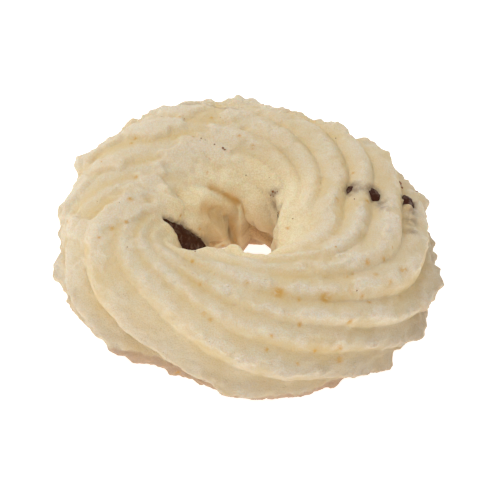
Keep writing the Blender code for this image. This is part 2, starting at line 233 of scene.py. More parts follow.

# How tan the outer side is, part baked tan and part painted shade, most on the right, away from
# the light; and how high the toasted foot reaches, part browning and part painted shade under
# the overhang: station by station.
FLANK_TAN_AND_SHADE = (1.4, 1.2, 1.0, 0.9, 0.9, 0.8, 0.7, 0.6, 0.7, 0.9, 1.1, 1.3)
TOAST_LEVEL = (1.5, 1.5, 1.5, 1.5, 1.5, 1.5, 2.0, 3.2, 3.2, 3.6, 2.6, 1.8)
TOAST_STEP = 0.1  # how much the outer side draws in where it is toasted
HOLLOW_WIDTH = 0.26  # how far from a groove the butter shows, as a share of a ridge
EVEN_PALENESS = 0.15  # how pale an untorn crest is, beside 1 on a torn one

# Caramelised spots: azimuth and roll in degrees, and radius. The blots are soft patches of
# butter and sugar in the dough, the specks small hard grains on it.
BLOTS = (
    (286, 78, 0.9), (301, 64, 0.8), (303, 40, 0.35), (276, 33, 0.35), (278, 44, 0.3),
    (297, 22, 0.5), (297, 9, 0.45), (330, 48, 0.5), (324, 72, 0.5), (330, 64, 0.35),
    (312, 53, 0.3), (322, 61, 0.35), (274, 88, 0.3), (290, 26, 0.3), (284, 18, 0.25),
    (181, 96, 0.5), (198, 80, 0.4), (197, 95, 0.3), (162, 95, 0.3), (88, 103, 0.35),
    (77, 111, 0.35), (344, 144, 0.3), (161, 167, 0.3), (292, 69, 0.3), (258, 50, 0.3),
)
DARK_SPECKS = (
    (98, 113, 0.3), (97, 115, 0.22), (104, 110, 0.2), (110, 106, 0.15), (112, 102, 0.15),
    (116, 75, 0.2), (123, 61, 0.15), (74, 136, 0.18), (43, 147, 0.3), (40, 148, 0.22),
    (41, 150, 0.2), (44, 152, 0.15), (43, 158, 0.1), (39, 146, 0.15), (0, 89, 0.2),
    (352, 138, 0.15), (46, 66, 0.15), (312, 59, 0.15), (16, 37, 0.25), (15.5, 44, 0.6),
    (14.5, 41, 0.35), (15, 22, 0.45),
)
LOOSE_BLOTS, LOOSE_BLOT_SIZES = 50, (0.15, 0.35)  # more blots, of any size between the two

# Where chocolate smeared over the dough: azimuth and roll in degrees, and radius.
SMEARS = (
    (5, 91, 0.8), (6, 70, 1.0), (1, 68, 1.0), (357, 69, 0.8), (41, 149, 1.2),
    (1, 42, 1.2), (356, 43, 1.2), (350, 46, 1.0), (36, 158, 1.4),
)
SMEAR_STRENGTH = 0.9

# Painted shade in the hole: warm darker colour in its creases, and darker colour at the foot of
# its walls: strength, how far it reaches, and the path that it follows.
BACK_WALL = ((0.2, 6.3, 1.5), (-0.1, 5.9, 5.1), (2.1, 5.5, 2.8), (4.0, 5.0, 2.4))
SHADED_CREASES = (
    (1.0, 1.4, FINE_FOLDS["under_arch"][-1]),
    (1.5, 0.9, FINE_FOLDS["behind_arch"][-1]),
    (0.8, 2.2, FINE_FOLDS["low_cheek"][-1]),
    (1.6, 0.6, FINE_FOLDS["cheek_crease"][-1]),
)
HOLE_FOOT_SHADE = ((1.0, 2.4, BACK_WALL), (1.0, 1.1, FINE_FOLDS["cheek_foot"][-1]))

# Crumbs and specks: radii, the heights above which they lie, and their shape.
CRUMB_SIZES, SPECK_SIZES = (0.05, 0.15), (0.05, 0.12)
CRUMB_LEVEL, SPECK_LEVEL = 0.3, 4.0
STRAY_CRUMBS = 0.06  # how likely a crumb is on whole dough, beside 1 on the most torn
GRAIN_FINENESS = 1
GRAIN_STRETCH = (0.55, 1.25)
GRAIN_DENTS = 0.25
GRAIN_SUNK = 0.35  # how deep its middle lies, as a share of its radius
CRUMB_SEED, SPECK_SEED, BLOT_SEED = 7, 11, 5

# The fine mesh.
COLUMNS = 540
ROWS = 184
SECTION_STEPS = 720  # in which a section's length is measured
BASE_SPACING = 7.0  # how many times as far apart the rows under the base are
HOLE_SPACING = 0.45  # how much farther apart the rows down the hole are
HOLE_SIDE = -0.3  # the cosine of the roll angle from which a row is in the hole

# Uneven patches in a colour: width, the noise's values between which they come in, and detail.
BUTTERY = (7.0, 0.4, 0.66, 2.0)  # butter not quite mixed in, in patches as wide as a ridge
FLOURY = (1.2, 0.35, 0.7, 4.0)  # clots of dry flour
GRAINY = (0.22, 0.4, 0.6, 1.0)  # grains of about 0.1 mm, drawn this coarse so that they show
BUBBLY = (0.7, 0.3, 0.5, 3.0)  # bubbles of butter that browned
SMOKY = (0.9, 0.2, 0.6, 4.0)  # wisps that melted chocolate left in the dough
BLOOM_FILM = (0.9, 0.52, 0.75, 4.0)  # spots of fat on the chocolate
BLOOM_STREAKS = (1.4, 0.35, 0.55, 3.0)  # breaks in the bloom along its line
BLOOM_FILM_STRENGTH, BLOOM_STREAK_STRENGTH = 0.3, 0.7
# Bumps too fine for the mesh: width, detail and depth. The dough's grit is about 0.1 mm wide
# and is drawn coarser so that it shows. The chocolate's are ripples where it ran and set.
DOUGH_BUMPS = (0.25, 2.0, 0.3)
CHOCOLATE_BUMPS = (0.6, 3.0, 0.1)
CHOCOLATE_BUMP_STRENGTH = 0.5
DOUGH_GLOW = 0.5  # how much of the light that falls on the dough spreads inside it
CRUMB_GLOW = 0.0  # crumbs are too small for it

# The dough's stains, painted light and shade among them, in the order in which they are laid on
# it: the colour, how strongly it covers, the marks on the mesh that say where, and the patches
# that it breaks up into.
DOUGH_STAINS = (
    ("butter", 0.55, (), BUTTERY),
    ("butter", 0.6, ("hollow",), None),
    ("crest", 0.15, (), FLOURY),
    ("crest", 0.55, ("pale",), None),
    ("crest", 0.6, ("crest",), None),
    # painted light: paler on the walls that face into the hole
    ("lit", 0.85, ("painted_hole_light",), None),
    # painted shade low in the hole
    ("hole", 0.3, ("shade",), None),
    # painted shade at the foot of the hole's walls
    ("hole", 0.85, ("hole_foot_shade",), None),
    # painted warm shade in the hole's creases
    ("caramel", 0.5, ("crease_shade",), None),
    ("butter", 0.4, (), GRAINY),
    # baked tan and painted shade on the outer side
    ("flank_tan_and_shade", 0.55, ("flank_tan_and_shade",), None),
    # toasted foot, with painted shade under the overhang
    ("foot", 0.55, ("toast_and_shade",), None),
    ("caramel", 0.85, ("caramel",), BUBBLY),
    ("smudge", 0.8, ("smudge", "smear"), SMOKY),
    ("smudge", 0.3, ("crack",), None),
)

# Places of a colour mix's sockets.
MIX_SHARE, MIX_A, MIX_B, MIX_RESULT = 0, 6, 7, 2

# The camera and the light, in millimetres and degrees but for the card's and the lamps' metres
# and watts.
CAMERA_ELEVATION = 44.0
CAMERA_DISTANCE = 350.0
CAMERA_TARGET = (0.2, 0.2, 6.0)
PIXELS_PER_MM = 6.2  # at the camera's distance, in a picture as wide as PICTURE_WIDTH
PICTURE_WIDTH = 500
CAMERA_SHIFT = (0.002, -0.0058)
SENSOR = 36.0
CARD_SIZE = 4.0
TENT_STRENGTH = 0.51
LAMP_DISTANCE = 1.0
LAMPS = {  # power, size, direction from the cookie
    "window": (4.25, 1.0, (-0.85, 0.8, 1.1)),
    "front": (2.1, 0.5, (0.0, -0.8, 0.9)),
}


def linear(hex_colour):
    """Linear red, green and blue of an sRGB hex colour."""
    shares = (int(hex_colour[i : i + 2], 16) / 255 for i in (1, 3, 5))
    return tuple(s / 12.92 if s <= 0.04045 else ((s + 0.055) / 1.055) ** 2.4 for s in shares)


def round_the_ring(values, azimuth):
    """A smooth closed curve through values spaced evenly round the ring."""
    values = np.asarray(values, float)
    place = (azimuth / (2 * math.pi) * len(values)) % len(values)
    left = np.floor(place).astype(int)
    u = place - left
    a, b, c, d = (values[(left + step) % len(values)] for step in (-1, 0, 1, 2))
    return b + 0.5 * u * (c - a + u * (2 * a - 5 * b + 4 * c - d + u * (3 * (b - c) + d - a)))


def ridge_count(azimuth, roll):
    """The number of ridges passed on the way to a spot: whole numbers are the grooves."""
    start = round_the_ring(RIDGE_START, azimuth)
    winding = RIDGES * (azimuth + roll) / (2 * math.pi)
    crowding = CROWDING["sideways"] * np.cos(roll) + CROWDING["upward"] * np.sin(roll)
    crowding += CROWDING["sideways_twice"] * np.cos(2 * roll)
    crowding += CROWDING["upward_twice"] * np.sin(2 * roll)
    side_lean = LEAN["side_x"] * np.cos(azimuth) + LEAN["side_y"] * np.sin(azimuth)
    top_lean = LEAN["top_x"] * np.cos(azimuth) + LEAN["top_y"] * np.sin(azimuth)
    even = start + winding + crowding + np.cos(roll) * side_lean + np.sin(roll) * top_lean
    count = even
    for _ in range(DRIFT_PASSES):
        count = even + round_the_ring(RIDGE_DRIFT, 2 * math.pi * count / RIDGES)
    return count


def section_frame(azimuth):
    """Middle of the rope's section and the vector from there to its outer side."""
    outward = np.stack([np.cos(azimuth), np.sin(azimuth)], -1)
    rim = outward * round_the_ring(RIM_RADIUS, azimuth)[..., None]
    edge = outward * round_the_ring(HOLE_RADIUS, azimuth)[..., None] + np.array(HOLE_CENTRE)
    return (rim + edge) / 2, (rim - edge) / 2


def fullness(roll):
    """How square the section is in each quarter: 2 is an ellipse."""
    top = np.where(np.cos(roll) > 0, FULLNESS["outer_top"], FULLNESS["inner_top"])
    foot = np.where(np.cos(roll) > 0, FULLNESS["outer_foot"], FULLNESS["inner_foot"])
    return np.where(np.sin(roll) > 0, top, foot)


def plain_rope(azimuth, roll):
    """Points of the rope as if it had no ridges, and the direction its surface faces."""
    middle, side = section_frame(azimuth)
    half_width = np.linalg.norm(side, axis=-1)
    level = HEIGHT * WIDEST_LEVEL
    reach = np.where(np.sin(roll) > 0, HEIGHT - level, level + SINK)
    power = fullness(roll)
    across, up = np.abs(np.cos(roll)), np.abs(np.sin(roll))
    radius = (across**power + up**power) ** (-1 / power)
    x = radius * np.cos(roll)
    z = radius * np.sin(roll)
    slope_x = np.sign(x) * np.abs(x) ** (power - 1) / half_width
    slope_z = np.sign(z) * np.abs(z) ** (power - 1) / reach
    steepness = np.hypot(slope_x, slope_z)
    flat = middle + side * x[..., None]
    points = np.concatenate([flat, (z * reach + level)[..., None]], -1)
    outward = side / half_width[..., None] * (slope_x / steepness)[..., None]
    return points, np.concatenate([outward, (slope_z / steepness)[..., None]], -1)


def placed_on_rope(marks):
    """Points of the plain rope for marks of azimuth, roll and one value more, and that value."""
    azimuth, roll, value = np.array(marks).T
    spots, _ = plain_rope(np.radians(azimuth), np.radians(roll))
    return spots, value


def turned(turn):
    """The matrix of a turn about X, Y and Z in degrees."""
    return np.array(Euler([math.radians(angle) for angle in turn]).to_matrix())


def fading(away, reach):
    """A soft bell: 1 where away is nothing, and next to nothing past twice the reach."""
    return np.exp(-((away / reach) ** 2))


def near_path(points, path, reach):
    """How near each point is to a path's straight stretches: 1 on the path, fading off."""
    nearest = np.full(points.shape[:-1], np.inf)
    for start, end in zip(path, path[1:]):
        along = np.array(end) - np.array(start)
        share = np.clip((points - start) @ along / (along @ along), 0, 1)
        away = points - start - share[..., None] * along
        nearest = np.minimum(nearest, np.linalg.norm(away, axis=-1))
    return fading(nearest, reach)


def fold_relief(points, folds):
    """Height that folds and crevices add at each point."""
    return sum(rise * near_path(points, path, width) for width, rise, path in folds.values())


def rim_relief(points):
    """Height that the rim's bumps and notches add at each point."""
    spots, rise = placed_on_rope(RIM_BUMPS)
    away = np.linalg.norm(points[..., None, :] - spots, axis=-1)
    return (rise * fading(away, RIM_BUMP_SIZE)).sum(-1)


def lobe_rise(points, outward, shape):
    """How far each point must go outward to leave a lobe that lies on its way."""
    centre, half_sizes, turn = shape
    spin = turned(turn)
    start = (points - np.array(centre)) @ spin / np.array(half_sizes)
    step = outward @ spin / np.array(half_sizes)
    speed = (step * step).sum(-1)
    approach = (start * step).sum(-1)
    room = approach**2 - speed * ((start * start).sum(-1) - 1)
    rise = (np.sqrt(np.maximum(room, 0)) - approach) / speed
    return np.where((room > 0) & (rise < LOBE_REACH), rise, -np.inf)


def with_lobes(height, points, outward):
    """The relief with every lobe run softly into it."""
    for shape in LOBES.values():
        rise = lobe_rise(points, outward, shape)
        overlap = np.maximum(BLEND - np.abs(height - rise), 0)
        height = np.maximum(height, rise) + overlap**2 / (4 * BLEND)
    return height


def ridge_depth(azimuth, roll):
    """Depth of the grooves at each spot, before their own strengths."""
    depth = round_the_ring(OUTER_DEPTH, azimuth) * np.maximum(np.cos(roll), 0) ** 2
    depth += round_the_ring(TOP_DEPTH, azimuth) * np.sin(roll) ** 2
    return depth + round_the_ring(HOLE_DEPTH, azimuth) * np.maximum(-np.cos(roll), 0) ** 2


def ridge_relief(azimuth, roll, count):
    """Height of the ridges over the plain rope: crests out, grooves in."""
    own_strength = round_the_ring(GROOVE_STRENGTH, 2 * math.pi * count / RIDGES)
    skewed = (count - np.floor(count)) ** (math.log(0.5) / math.log(CREST_PLACE))
    crest = np.sin(math.pi * skewed) ** round_the_ring(CREST_SHARPNESS, azimuth)
    return ridge_depth(azimuth, roll) * own_strength * (crest - GROOVE_SHARE)


def uneven(points, size, layers):
    """Smooth uneven numbers round nothing, from a pattern's layers and its size."""
    total = 0.0
    for strength, share, seed in layers:
        flat = points.reshape(-1, 3) / (share * size) + seed
        total = total + strength * np.array([noise.noise(point) for point in flat.tolist()])
    return total.reshape(points.shape[:-1])


def section_rows(azimuth):
    """Roll angles of one column's rows: farther apart down the hole and under the base."""
    roll = np.linspace(-math.pi / 2, 3 * math.pi / 2, SECTION_STEPS + 1)
    points, _ = plain_rope(np.full_like(roll, azimuth), roll)
    length = np.linalg.norm(np.diff(points, axis=0), axis=1)
    middle = (roll[1:] + roll[:-1]) / 2
    height = (points[1:, 2] + points[:-1, 2]) / 2
    spacing = np.where(height < 0, BASE_SPACING, 1 + HOLE_SPACING * (np.cos(middle) < HOLE_SIDE))
    travelled = np.concatenate([[0], np.cumsum(length / spacing)])
    return np.interp(np.arange(ROWS) / ROWS * travelled[-1], travelled, roll)


def steps_round(field, axis):
    """Half the difference between each spot's neighbours on a grid closed both ways."""
    return (np.roll(field, -1, axis) - np.roll(field, 1, axis)) / 2


def surface_frame(points, count):
    """The way each spot of the grid faces, and the way to the groove outside its crest."""
    along = steps_round(points, 0)
    up = steps_round(points, 1)
    normal = np.cross(along, up)
    normal /= np.linalg.norm(normal, axis=-1, keepdims=True)
    half_lap = RIDGES / 2
    climbed = [steps_round(count, axis) for axis in (0, 1)]
    climbed = [step - half_lap * np.round(step / half_lap) for step in climbed]
    aa, au, uu = ((p * q).sum(-1) for p, q in ((along, along), (along, up), (up, up)))
    room = aa * uu - au * au
    first = (climbed[0] * uu - climbed[1] * au) / room
    second = (climbed[1] * aa - climbed[0] * au) / room
    climb = along * first[..., None] + up * second[..., None]
    return normal, -climb / np.linalg.norm(climb, axis=-1, keepdims=True)


def soft_step(value, low, high):
    """0 below low, 1 above high and a smooth climb between."""
    share = np.clip((value - low) / (high - low), 0, 1)
    return share * share * (3 - 2 * share)


def deepest_lump(points, margin):
    """How deep in chocolate grown by a margin each point is: 0 outside, 1 in a lump's middle."""
    depth = np.zeros(points.shape[:-1])
    for centre, half_sizes, turn in CHOCOLATE.values():
        local = (points - np.array(centre)) @ turned(turn) / (np.array(half_sizes) + margin)
        depth = np.maximum(depth, 1 - np.linalg.norm(local, axis=-1))
    return depth


def torn_band(points, place, length):
    """Where dried crests stand up in ragged flakes: 1 on a flake and 0 beside it."""
    edge = uneven(points, length, FLAKES)
    band = 1.0
    for side, away in ((TORN_BELOW, CREST_PLACE - place), (TORN_ABOVE, place - CREST_PLACE)):
        reach, full, fray = side
        band = band * soft_step(full + fray * edge - away / reach, 0, 1)
    return band


def stained_by(points, spots, radii):
    """How much each point is stained by the nearest of some round spots."""
    stain = np.zeros(points.shape[:-1])
    for spot, radius in zip(spots, radii):
        stain = np.maximum(stain, fading(np.linalg.norm(points - spot, axis=-1), radius))
    return stain


def darkened(points, creases):
    """How much painted shade each point gets in some creases: the darkest of them counts."""
    stains = [strength * near_path(points, path, reach) for strength, reach, path in creases]
    return np.maximum.reduce(stains)


def drawn_spots(draw, chance, number):
    """Indices of different spots, each drawn as readily as its chance says."""
    return draw.choice(chance.size, number, replace=False, p=chance / chance.sum())


def caramel_stain(plain, hollow, off_base):
    """Where butter and sugar browned: the blots that show, and loose ones in the hollows."""
    spots, radius = placed_on_rope(BLOTS)
    draw = np.random.default_rng(BLOT_SEED)
    chosen = drawn_spots(draw, (hollow * off_base).ravel(), LOOSE_BLOTS)
    loose = plain.reshape(-1, 3)[chosen]
    radii = draw.uniform(*LOOSE_BLOT_SIZES, LOOSE_BLOTS)
    return stained_by(plain, np.concatenate([spots, loose]), np.concatenate([radius, radii]))


def pipe_ring(sizes):
    """The ring as the nozzle leaves it, with its ridges, lobes and folds, on a closed grid."""
    azimuth = np.arange(COLUMNS) / COLUMNS * 2 * math.pi
    roll = np.array([section_rows(angle) for angle in azimuth])
    azimuth = azimuth[:, None] + np.zeros_like(roll)
    plain, outward = plain_rope(azimuth, roll)
    facing_out = soft_step(np.cos(roll), *RAGGED_SIDE)
    ragged = round_the_ring(RAGGEDNESS, azimuth)
    ragged = ragged * (HOLE_RAGGEDNESS + (1 - HOLE_RAGGEDNESS) * facing_out)
    count = ridge_count(azimuth, roll)
    torn = count + sizes.waver * ragged * uneven(plain, sizes.tear_length / MM, WAVER)
    pressure = 1 + uneven(plain, PRESSURE_LENGTH, PRESSURE)
    ridges = pressure * ridge_relief(azimuth, roll, torn) + rim_relief(plain)
    relief = with_lobes(ridges, plain, outward) + fold_relief(plain, FOLDS)
    points = plain + outward * relief[..., None]
    ring = {"azimuth": azimuth, "roll": roll, "plain": plain, "points": points}
    return SimpleNamespace(**ring, ragged=ragged, count=count, place=torn - np.floor(torn))


def finish_ring(ring, sizes):
    """Tear, lump and crumble the piped ring, and draw it back round the chocolate.

    Gives its points, and the marks that follow from this finish.
    """
    points = ring.points
    off_base = soft_step(points[..., 2], *CRUMB_FADE)
    lumpy = round_the_ring(LUMPINESS, ring.azimuth) * off_base
    flake = torn_band(points, ring.place, sizes.tear_length / MM)
    tear = flake * ring.ragged * off_base
    teeth = tear * soft_step(uneven(points, TOOTH_LENGTH, TEETH), *TEETH_FADE)
    lumps = soft_step(uneven(points, sizes.lump_size / MM, LUMPS), *LUMPS_FADE)
    coarse = off_base * (1 + COARSENING * (ring.ragged + lumpy))
    crack = near_path(points, HAIR_CRACK, CRACK_WIDTH)
    # The toasted foot, which also paints shade under the overhang of the lowest ridge.
    toast_and_shade = points[..., 2] + uneven(points, TOAST_EDGE_LENGTH, TOAST_EDGE)
    toast_and_shade = 1 - soft_step(toast_and_shade - round_the_ring(TOAST_LEVEL, ring.azimuth), *TOAST_FADE)
    rim = off_base * fading(ring.roll - RIM_ROLL * np.sin(ring.azimuth), RIM_REACH)

    height = sizes.tear_height * (tear + teeth) + sizes.lump_height * lumpy * lumps
    height += sizes.crumb_height * coarse * uneven(points, sizes.crumb_size / MM, CRUMB)
    height += sizes.rim_height * rim * uneven(points, sizes.rim_tooth / MM, RIM_TEETH)
    height -= sizes.pocket_depth * soft_step(deepest_lump(points, 0), *POCKET_FADE)
    height = height / MM + fold_relief(points, FINE_FOLDS) - CRACK_DEPTH * crack
    height -= TOAST_STEP * toast_and_shade * off_base * np.maximum(np.cos(ring.roll), 0)
    normal, downhill = surface_frame(ring.plain, ring.count)
    points = points + normal * height[..., None] + downhill * (sizes.lip / MM * tear)[..., None]
    points[..., 2] = np.maximum(points[..., 2], 0)

    paleness = EVEN_PALENESS + (1 - EVEN_PALENESS) * np.minimum(ring.ragged, 1)
    hollow = fading(np.minimum(ring.place, 1 - ring.place), HOLLOW_WIDTH)
    return points, {
        "crest": flake * paleness,
        "pale": np.minimum(round_the_ring(LUMPINESS, ring.azimuth), 1) * lumps,
        "toast_and_shade": toast_and_shade,
        "crack": crack,
        "hollow": hollow,
        "caramel": caramel_stain(ring.plain, hollow, off_base),
    }


def side_marks(ring, points):
    """Marks from a spot's side and height, the hole's creases and the chocolate: some are
    painted light and shade.
    """
    facing_out, height = np.cos(ring.roll), points[..., 2]
    tan = round_the_ring(FLANK_TAN_AND_SHADE, ring.azimuth) * soft_step(facing_out, *FLANK_SIDE)
    return {
        # Baked tan and painted shade on the outer side.
        "flank_tan_and_shade": tan * (1 - soft_step(height, *FLANK_FADE)),
        # Painted light on the walls that face into the hole.
        "painted_hole_light": soft_step(-facing_out, *HOLE_LIGHT_SIDE),
        # Painted shade low in the hole.
        "shade": soft_step(-facing_out, *HOLE_SHADE_SIDE) * (1 - soft_step(height, *HOLE_SHADE_FADE)),
        # Painted shade at the foot of the hole's walls.
        "hole_foot_shade": darkened(points, HOLE_FOOT_SHADE),
        # Painted warm shade in the hole's creases.
        "crease_shade": darkened(points, SHADED_CREASES),
        "smudge": soft_step(deepest_lump(points, SMUDGE_REACH), *SMUDGE_FADE),
        "smear": SMEAR_STRENGTH * stained_by(ring.plain, *placed_on_rope(SMEARS)),
    }


def grid_faces():
    """Corners of every square of the dough's grid, which closes both ways."""
    column, row = np.meshgrid(np.arange(COLUMNS), np.arange(ROWS), indexing="ij")
    after, above = (column + 1) % COLUMNS, (row + 1) % ROWS
    corners = ((column, row), (after, row), (after, above), (column, above))
    return np.stack([(c * ROWS + r).ravel() for c, r in corners], -1)


def centred(points):
    """Points in metres, from millimetres in the frame that the ring is drawn in."""
    points = np.array(points, float)
    points[..., :2] -= FOOTPRINT_MIDDLE
    return points * MM


def solid_piece(name, points, faces, material, nodes=()):
    """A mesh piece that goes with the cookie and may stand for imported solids."""
    mesh = bpy.data.meshes.new(name)
    mesh.from_pydata(points.reshape(-1, 3).tolist(), [], np.asarray(faces).tolist())
    mesh.polygons.foreach_set("use_smooth", [True] * len(mesh.polygons))
    mesh.materials.append(material)
    mesh.update()
    item = bpy.data.objects.new(name, mesh)
    bpy.context.collection.objects.link(item)
    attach(item, BODY)
    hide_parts(*nodes)
    return item


def give_values(mesh, values):
    """Store named numbers on a mesh's points for its material to read."""
    for name, field in values.items():
        layer = mesh.attributes.new(name, "FLOAT", "POINT")
        layer.data.foreach_set("value", np.asarray(field, np.float32).ravel())


def piped_surface():
    """Points of the piped ring in centred millimetres, the way each faces, and their marks."""
    item = bpy.data.objects.get(DOUGH)
    if item is None:
        raise RuntimeError("the dough ring must be piped first")
    points, facing = (np.zeros(3 * len(item.data.vertices)) for _ in range(2))
    item.data.vertices.foreach_get("co", points)
    item.data.vertices.foreach_get("normal", facing)
    marks = {}
    for layer in item.data.attributes:
        if layer.domain == "POINT" and layer.data_type == "FLOAT":
            marks[layer.name] = np.zeros(len(layer.data))
            layer.data.foreach_get("value", marks[layer.name])
    return points.reshape(-1, 3) / MM, facing.reshape(-1, 3), marks


def pebble_shape(fineness):
    """Points and triangles of a ball of unit radius."""
    shape = bmesh.new()
    bmesh.ops.create_icosphere(shape, subdivisions=fineness, radius=1.0)
    points = np.array([vert.co[:] for vert in shape.verts])
    faces = np.array([[vert.index for vert in face.verts] for face in shape.faces])
    shape.free()
    return points, faces


def scatter(spots, facing, sizes, draw):
    """Points and triangles of uneven grains lying half sunk at spots of a surface."""
    ball, triangles = pebble_shape(GRAIN_FINENESS)
    stretch = draw.uniform(*GRAIN_STRETCH, (len(spots), 1, 3))
    dents = 1 + draw.uniform(-GRAIN_DENTS, GRAIN_DENTS, (len(spots), len(ball), 1))
    middles = spots - facing * (sizes * GRAIN_SUNK)[:, None]
    points = middles[:, None] + ball * stretch * dents * sizes[:, None, None]
    faces = triangles + (np.arange(len(spots)) * len(ball))[:, None, None]
    return points, faces.reshape(-1, 3)


def chocolate_lump(shape):
    """Points and triangles of a chunk of chocolate with dented, chipped faces."""
    centre, half_sizes, turn = (np.array(values) for values in shape)
    ball, faces = pebble_shape(CHOCOLATE_FINENESS)
    first, second = (ball @ np.array(wave) for wave in DENT_WAVES)
    swell = 1 + CHOCOLATE_UNEVENNESS * (np.sin(first) * np.cos(second))
    chips = ((CHIP_DEPTHS[0], 1.0, centre[0]), (CHIP_DEPTHS[1], 0.5, centre[1]))
    chipped = uneven(ball * half_sizes, CHIP_SIZE, chips)
    local = ball * (half_sizes * swell[:, None] + chipped[:, None])
    return local @ turned(turn).T + centre, faces


def add(tree, kind, inputs=None, **settings):
    """Add a node to a material with its settings, and with a value or a link for each input."""
    node = tree.nodes.new(kind)
    for key, value in settings.items():
        setattr(node, key, value)
    for key, value in (inputs or {}).items():
        if isinstance(value, bpy.types.NodeSocket):
            tree.links.new(value, node.inputs[key])
        else:
            node.inputs[key].default_value = value
    return node


def blank_material(name, finish):
    """A material with one shader set to a finish: the material, its nodes and the shader."""
    material = bpy.data.materials.new(name)
    material.use_nodes = True
    shader = material.node_tree.nodes["Principled BSDF"]
    for socket, value in finish.items():
        shader.inputs[socket].default_value = value
    return material, material.node_tree, shader


def rgba(colour):
    """A colour's three numbers with a fourth, for a socket: it covers fully."""
    return (*colour, 1.0)


def patches(tree, place, size, low, high, detail):
    """Numbers from 0 to 1 in uneven patches of a size."""
    grid = {"Vector": place, "Scale": 1 / (size * MM), "Detail": detail}
    pattern = add(tree, "ShaderNodeTexNoise", grid).outputs["Fac"]
    spread = {"Value": pattern, "From Min": low, "From Max": high}
    return add(tree, "ShaderNodeMapRange", spread).outputs["Result"]


def cover(tree, place, strength, marks, pattern):
    """How much a stain covers: its strength, times the greatest of its marks and its patches."""
    shares = []
    for mark in marks:
        found = add(tree, "ShaderNodeAttribute", attribute_name=mark).outputs["Fac"]
        if shares:
            pair = {0: shares.pop(), 1: found}
            found = add(tree, "ShaderNodeMath", pair, operation="MAXIMUM").outputs[0]
        shares.append(found)
    if pattern:
        shares.append(patches(tree, place, *pattern))
    for share in shares:
        pair = {0: share, 1: strength}
        strength = add(tree, "ShaderNodeMath", pair, operation="MULTIPLY").outputs[0]
    return strength


def roughen(tree, place, shader, strength, size, detail, depth):
    """Give a shader bumps that are too fine for its mesh."""
    grid = {"Vector": place, "Scale": 1 / (size * MM), "Detail": detail}
    relief = add(tree, "ShaderNodeTexNoise", grid).outputs["Fac"]
    rise = {"Height": relief, "Strength": strength, "Distance": depth * MM}
    bump = add(tree, "ShaderNodeBump", rise)
    tree.links.new(bump.outputs["Normal"], shader.inputs["Normal"])


def dough_material(name, look, glow):
    """Baked butter dough, dried in the oven: a dry, matt, crumbly crust.

    The eye sees pale cream where torn crests dried, yellower butter in the hollows, a tan foot
    where it touched the tray, and a fine crumb all over. Painted light and shade lie in its
    colour too: paler on the hole's walls, darker low in the hole, in its creases, on the outer
    side and under the foot's overhang.
    """
    finish = {
        "Roughness": 0.85,
        "IOR": 1.45,
        "Specular IOR Level": 0.3,
        "Subsurface Weight": glow,
        "Subsurface Radius": (1.0, 0.65, 0.4),
        "Subsurface Scale": 1.2 * MM,
    }
    material, tree, shader = blank_material(name, finish)
    place = add(tree, "ShaderNodeTexCoord").outputs["Object"]
    colour = rgba(look.dough)
    for stain, strength, marks, pattern in DOUGH_STAINS:
        share = cover(tree, place, strength, marks, pattern)
        layers = {MIX_A: colour, MIX_B: rgba(getattr(look, stain)), MIX_SHARE: share}
        colour = add(tree, "ShaderNodeMix", layers, data_type="RGBA").outputs[MIX_RESULT]
    tree.links.new(colour, shader.inputs["Base Color"])
    roughen(tree, place, shader, look.grain, *DOUGH_BUMPS)
    return material


def chocolate_material(look):
    """Dark chocolate that has softened and set again in the oven.

    The eye sees a deep red brown with a soft sheen, and a thin greyish bloom on it.
    """
    finish = {"Roughness": 0.5, "IOR": 1.46, "Specular IOR Level": 0.15}
    material, tree, shader = blank_material("oven_softened_dark_chocolate", finish)
    place = add(tree, "ShaderNodeTexCoord").outputs["Object"]
    film = cover(tree, place, BLOOM_FILM_STRENGTH, (), BLOOM_FILM)
    streaks = cover(tree, place, BLOOM_STREAK_STRENGTH, ("bloom",), BLOOM_STREAKS)
    bloom = add(tree, "ShaderNodeMath", {0: film, 1: streaks}, operation="MAXIMUM").outputs[0]
    layers = {MIX_A: rgba(look.chocolate), MIX_B: rgba(look.bloom), MIX_SHARE: bloom}
    colour = add(tree, "ShaderNodeMix", layers, data_type="RGBA").outputs[MIX_RESULT]
    tree.links.new(colour, shader.inputs["Base Color"])
    roughen(tree, place, shader, CHOCOLATE_BUMP_STRENGTH, *CHOCOLATE_BUMPS)
    return material


def toasted_material(look):
    """Caramelised sugar and butter solids: small hard orange brown specks with a dull sheen."""
    finish = {"Base Color": rgba(look.speck), "Roughness": 0.6, "IOR": 1.5}
    return blank_material("caramelised_specks", finish)[0]


def paper_material(look):
    """Matt white card: it throws soft light back up on the cookie's flanks."""
    finish = {
        "Base Color": rgba(look.card),
        "Roughness": 0.9,
        "Specular IOR Level": 0.2,
        "Emission Color": rgba(look.card),
        "Emission Strength": look.glow,
    }
    return blank_material("matt_white_card", finish)[0]


def hang_lamp(name, power, size, direction):
    """A square soft box at the lamps' distance, facing the cookie."""
    lamp = bpy.data.lights.new(name, "AREA")
    lamp.energy = power
    lamp.size = size
    item = bpy.data.objects.new(name, lamp)
    item.location = Vector(direction).normalized() * LAMP_DISTANCE
    item.rotation_euler = Vector(direction).to_track_quat("Z", "Y").to_euler()
    bpy.context.collection.objects.link(item)


def aim_camera():
    """The camera above the cookie's near side, looking down at it."""
    camera = bpy.data.cameras.new("camera")
    camera.sensor_width = SENSOR
    camera.lens = SENSOR * PIXELS_PER_MM * CAMERA_DISTANCE / PICTURE_WIDTH
    camera.shift_x, camera.shift_y = CAMERA_SHIFT
    slope = math.radians(CAMERA_ELEVATION)
    back = Vector((0, -math.cos(slope), math.sin(slope)))
    item = bpy.data.objects.new("camera", camera)
    item.location = (Vector(CAMERA_TARGET) + back * CAMERA_DISTANCE) * MM
    item.rotation_euler = back.to_track_quat("Z", "Y").to_euler()
    bpy.context.collection.objects.link(item)
    return item


